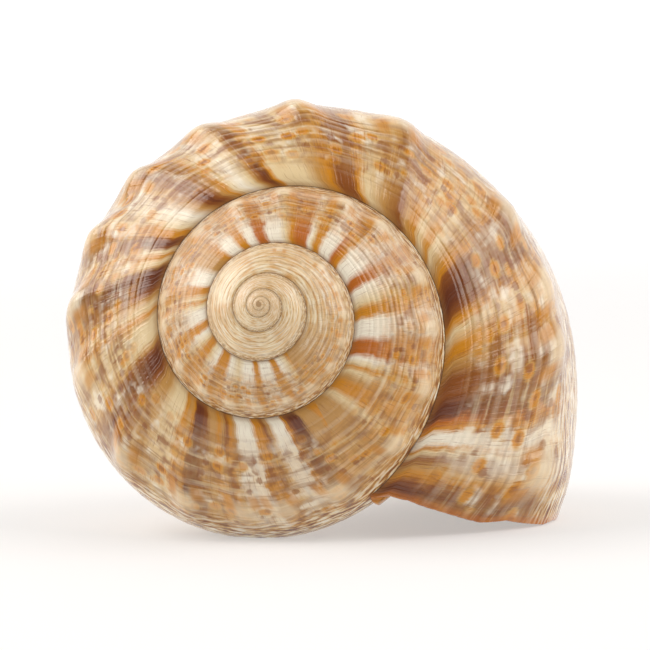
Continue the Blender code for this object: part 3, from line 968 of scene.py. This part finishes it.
def camera_turn():
    """The turn from shell axes to the camera's own axes."""
    lean = np.array([*TIP_LEAN, math.sqrt(1 - TIP_LEAN[0] ** 2 - TIP_LEAN[1] ** 2)])
    axis = np.cross([0.0, 0.0, 1.0], lean)
    cross = np.array([[0, -axis[2], axis[1]], [axis[2], 0, -axis[0]], [-axis[1], axis[0], 0]])
    return np.eye(3) + cross + cross @ cross * ((1 - lean[2]) / (axis @ axis))


def make_camera():
    turn = camera_turn()
    middle = FRAME_PIXELS / 2
    aside = (TIP_PIXEL[0] - middle) * DISTANCE / FOCAL_PIXELS
    up = (middle - TIP_PIXEL[1]) * DISTANCE / FOCAL_PIXELS
    rest = np.array(REST_MATRIX)
    place = rest @ (-turn.T @ np.array([aside, up, -DISTANCE])) + np.array(REST_STEP)
    matrix = np.eye(4)
    matrix[:3, :3] = rest @ turn.T
    matrix[:3, 3] = place * METRES
    data = bpy.data.cameras.new("camera")
    data.sensor_width = SENSOR_WIDTH
    data.lens = SENSOR_WIDTH * FOCAL_PIXELS / FRAME_PIXELS
    data.clip_end = CLIP_END
    camera = bpy.data.objects.new("camera", data)
    camera.matrix_world = Matrix(matrix.tolist())
    bpy.context.scene.collection.objects.link(camera)
    bpy.context.scene.camera = camera


def make_softbox(name, place, size, power):
    data = bpy.data.lights.new(name, "AREA")
    data.shape = "RECTANGLE"
    data.size, data.size_y = size
    data.energy = power
    data.color = SOFTBOX_COLOUR
    light = bpy.data.objects.new(name, data)
    light.location = place
    way = Vector(SOFTBOX_TARGET) - Vector(place)
    light.rotation_euler = way.to_track_quat("-Z", "Y").to_euler()
    bpy.context.scene.collection.objects.link(light)


def floor_material():
    material = bpy.data.materials.new("floor")
    g = Graph(material)
    set_inputs(g.principled, FLOOR_FINISH)
    distance = g.put("ShaderNodeVectorMath", operation="LENGTH")
    g.feed(distance.inputs[0], g.put("ShaderNodeNewGeometry").outputs["Position"])
    shine = g.span(distance.outputs["Value"], *FLOOR_SHINE)
    g.feed(g.principled.inputs["Emission Strength"], shine)
    return material


def make_floor():
    line = [(FLOOR_FRONT, 0.0), (FLOOR_BEND, 0.0)]
    for angle in np.linspace(0, math.pi / 2, BEND_STEPS)[1:]:
        back = FLOOR_BEND + BEND_RADIUS * math.sin(angle)
        line.append((back, BEND_RADIUS - BEND_RADIUS * math.cos(angle)))
    line.append((FLOOR_BEND + BEND_RADIUS, BACKDROP_TOP))
    points = [(x, y, z) for x in (-FLOOR_SIDE, FLOOR_SIDE) for y, z in line]
    count = len(line)
    faces = [(k, k + count, k + count + 1, k + 1) for k in range(count - 1)]
    mesh = bpy.data.meshes.new("floor")
    mesh.from_pydata(points, [], faces)
    mesh.polygons.foreach_set("use_smooth", np.ones(len(mesh.polygons), bool))
    mesh.materials.append(floor_material())
    floor = bpy.data.objects.new("floor", mesh)
    bpy.context.scene.collection.objects.link(floor)


def make_world():
    world = bpy.data.worlds.new("world")
    bpy.context.scene.world = world
    world.use_nodes = True
    set_inputs(world.node_tree.nodes["Background"], WORLD_LIGHT)


pieces = make_pieces()
shell = shell_material()
for piece in pieces:
    piece.data.materials.append(shell)
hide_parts("shell")
make_camera()
make_floor()
for name, (place, size, power) in SOFTBOXES.items():
    make_softbox(name, place, size, power)
make_world()
bpy.context.scene.view_settings.view_transform = "Standard"
bpy.context.view_layer.update()
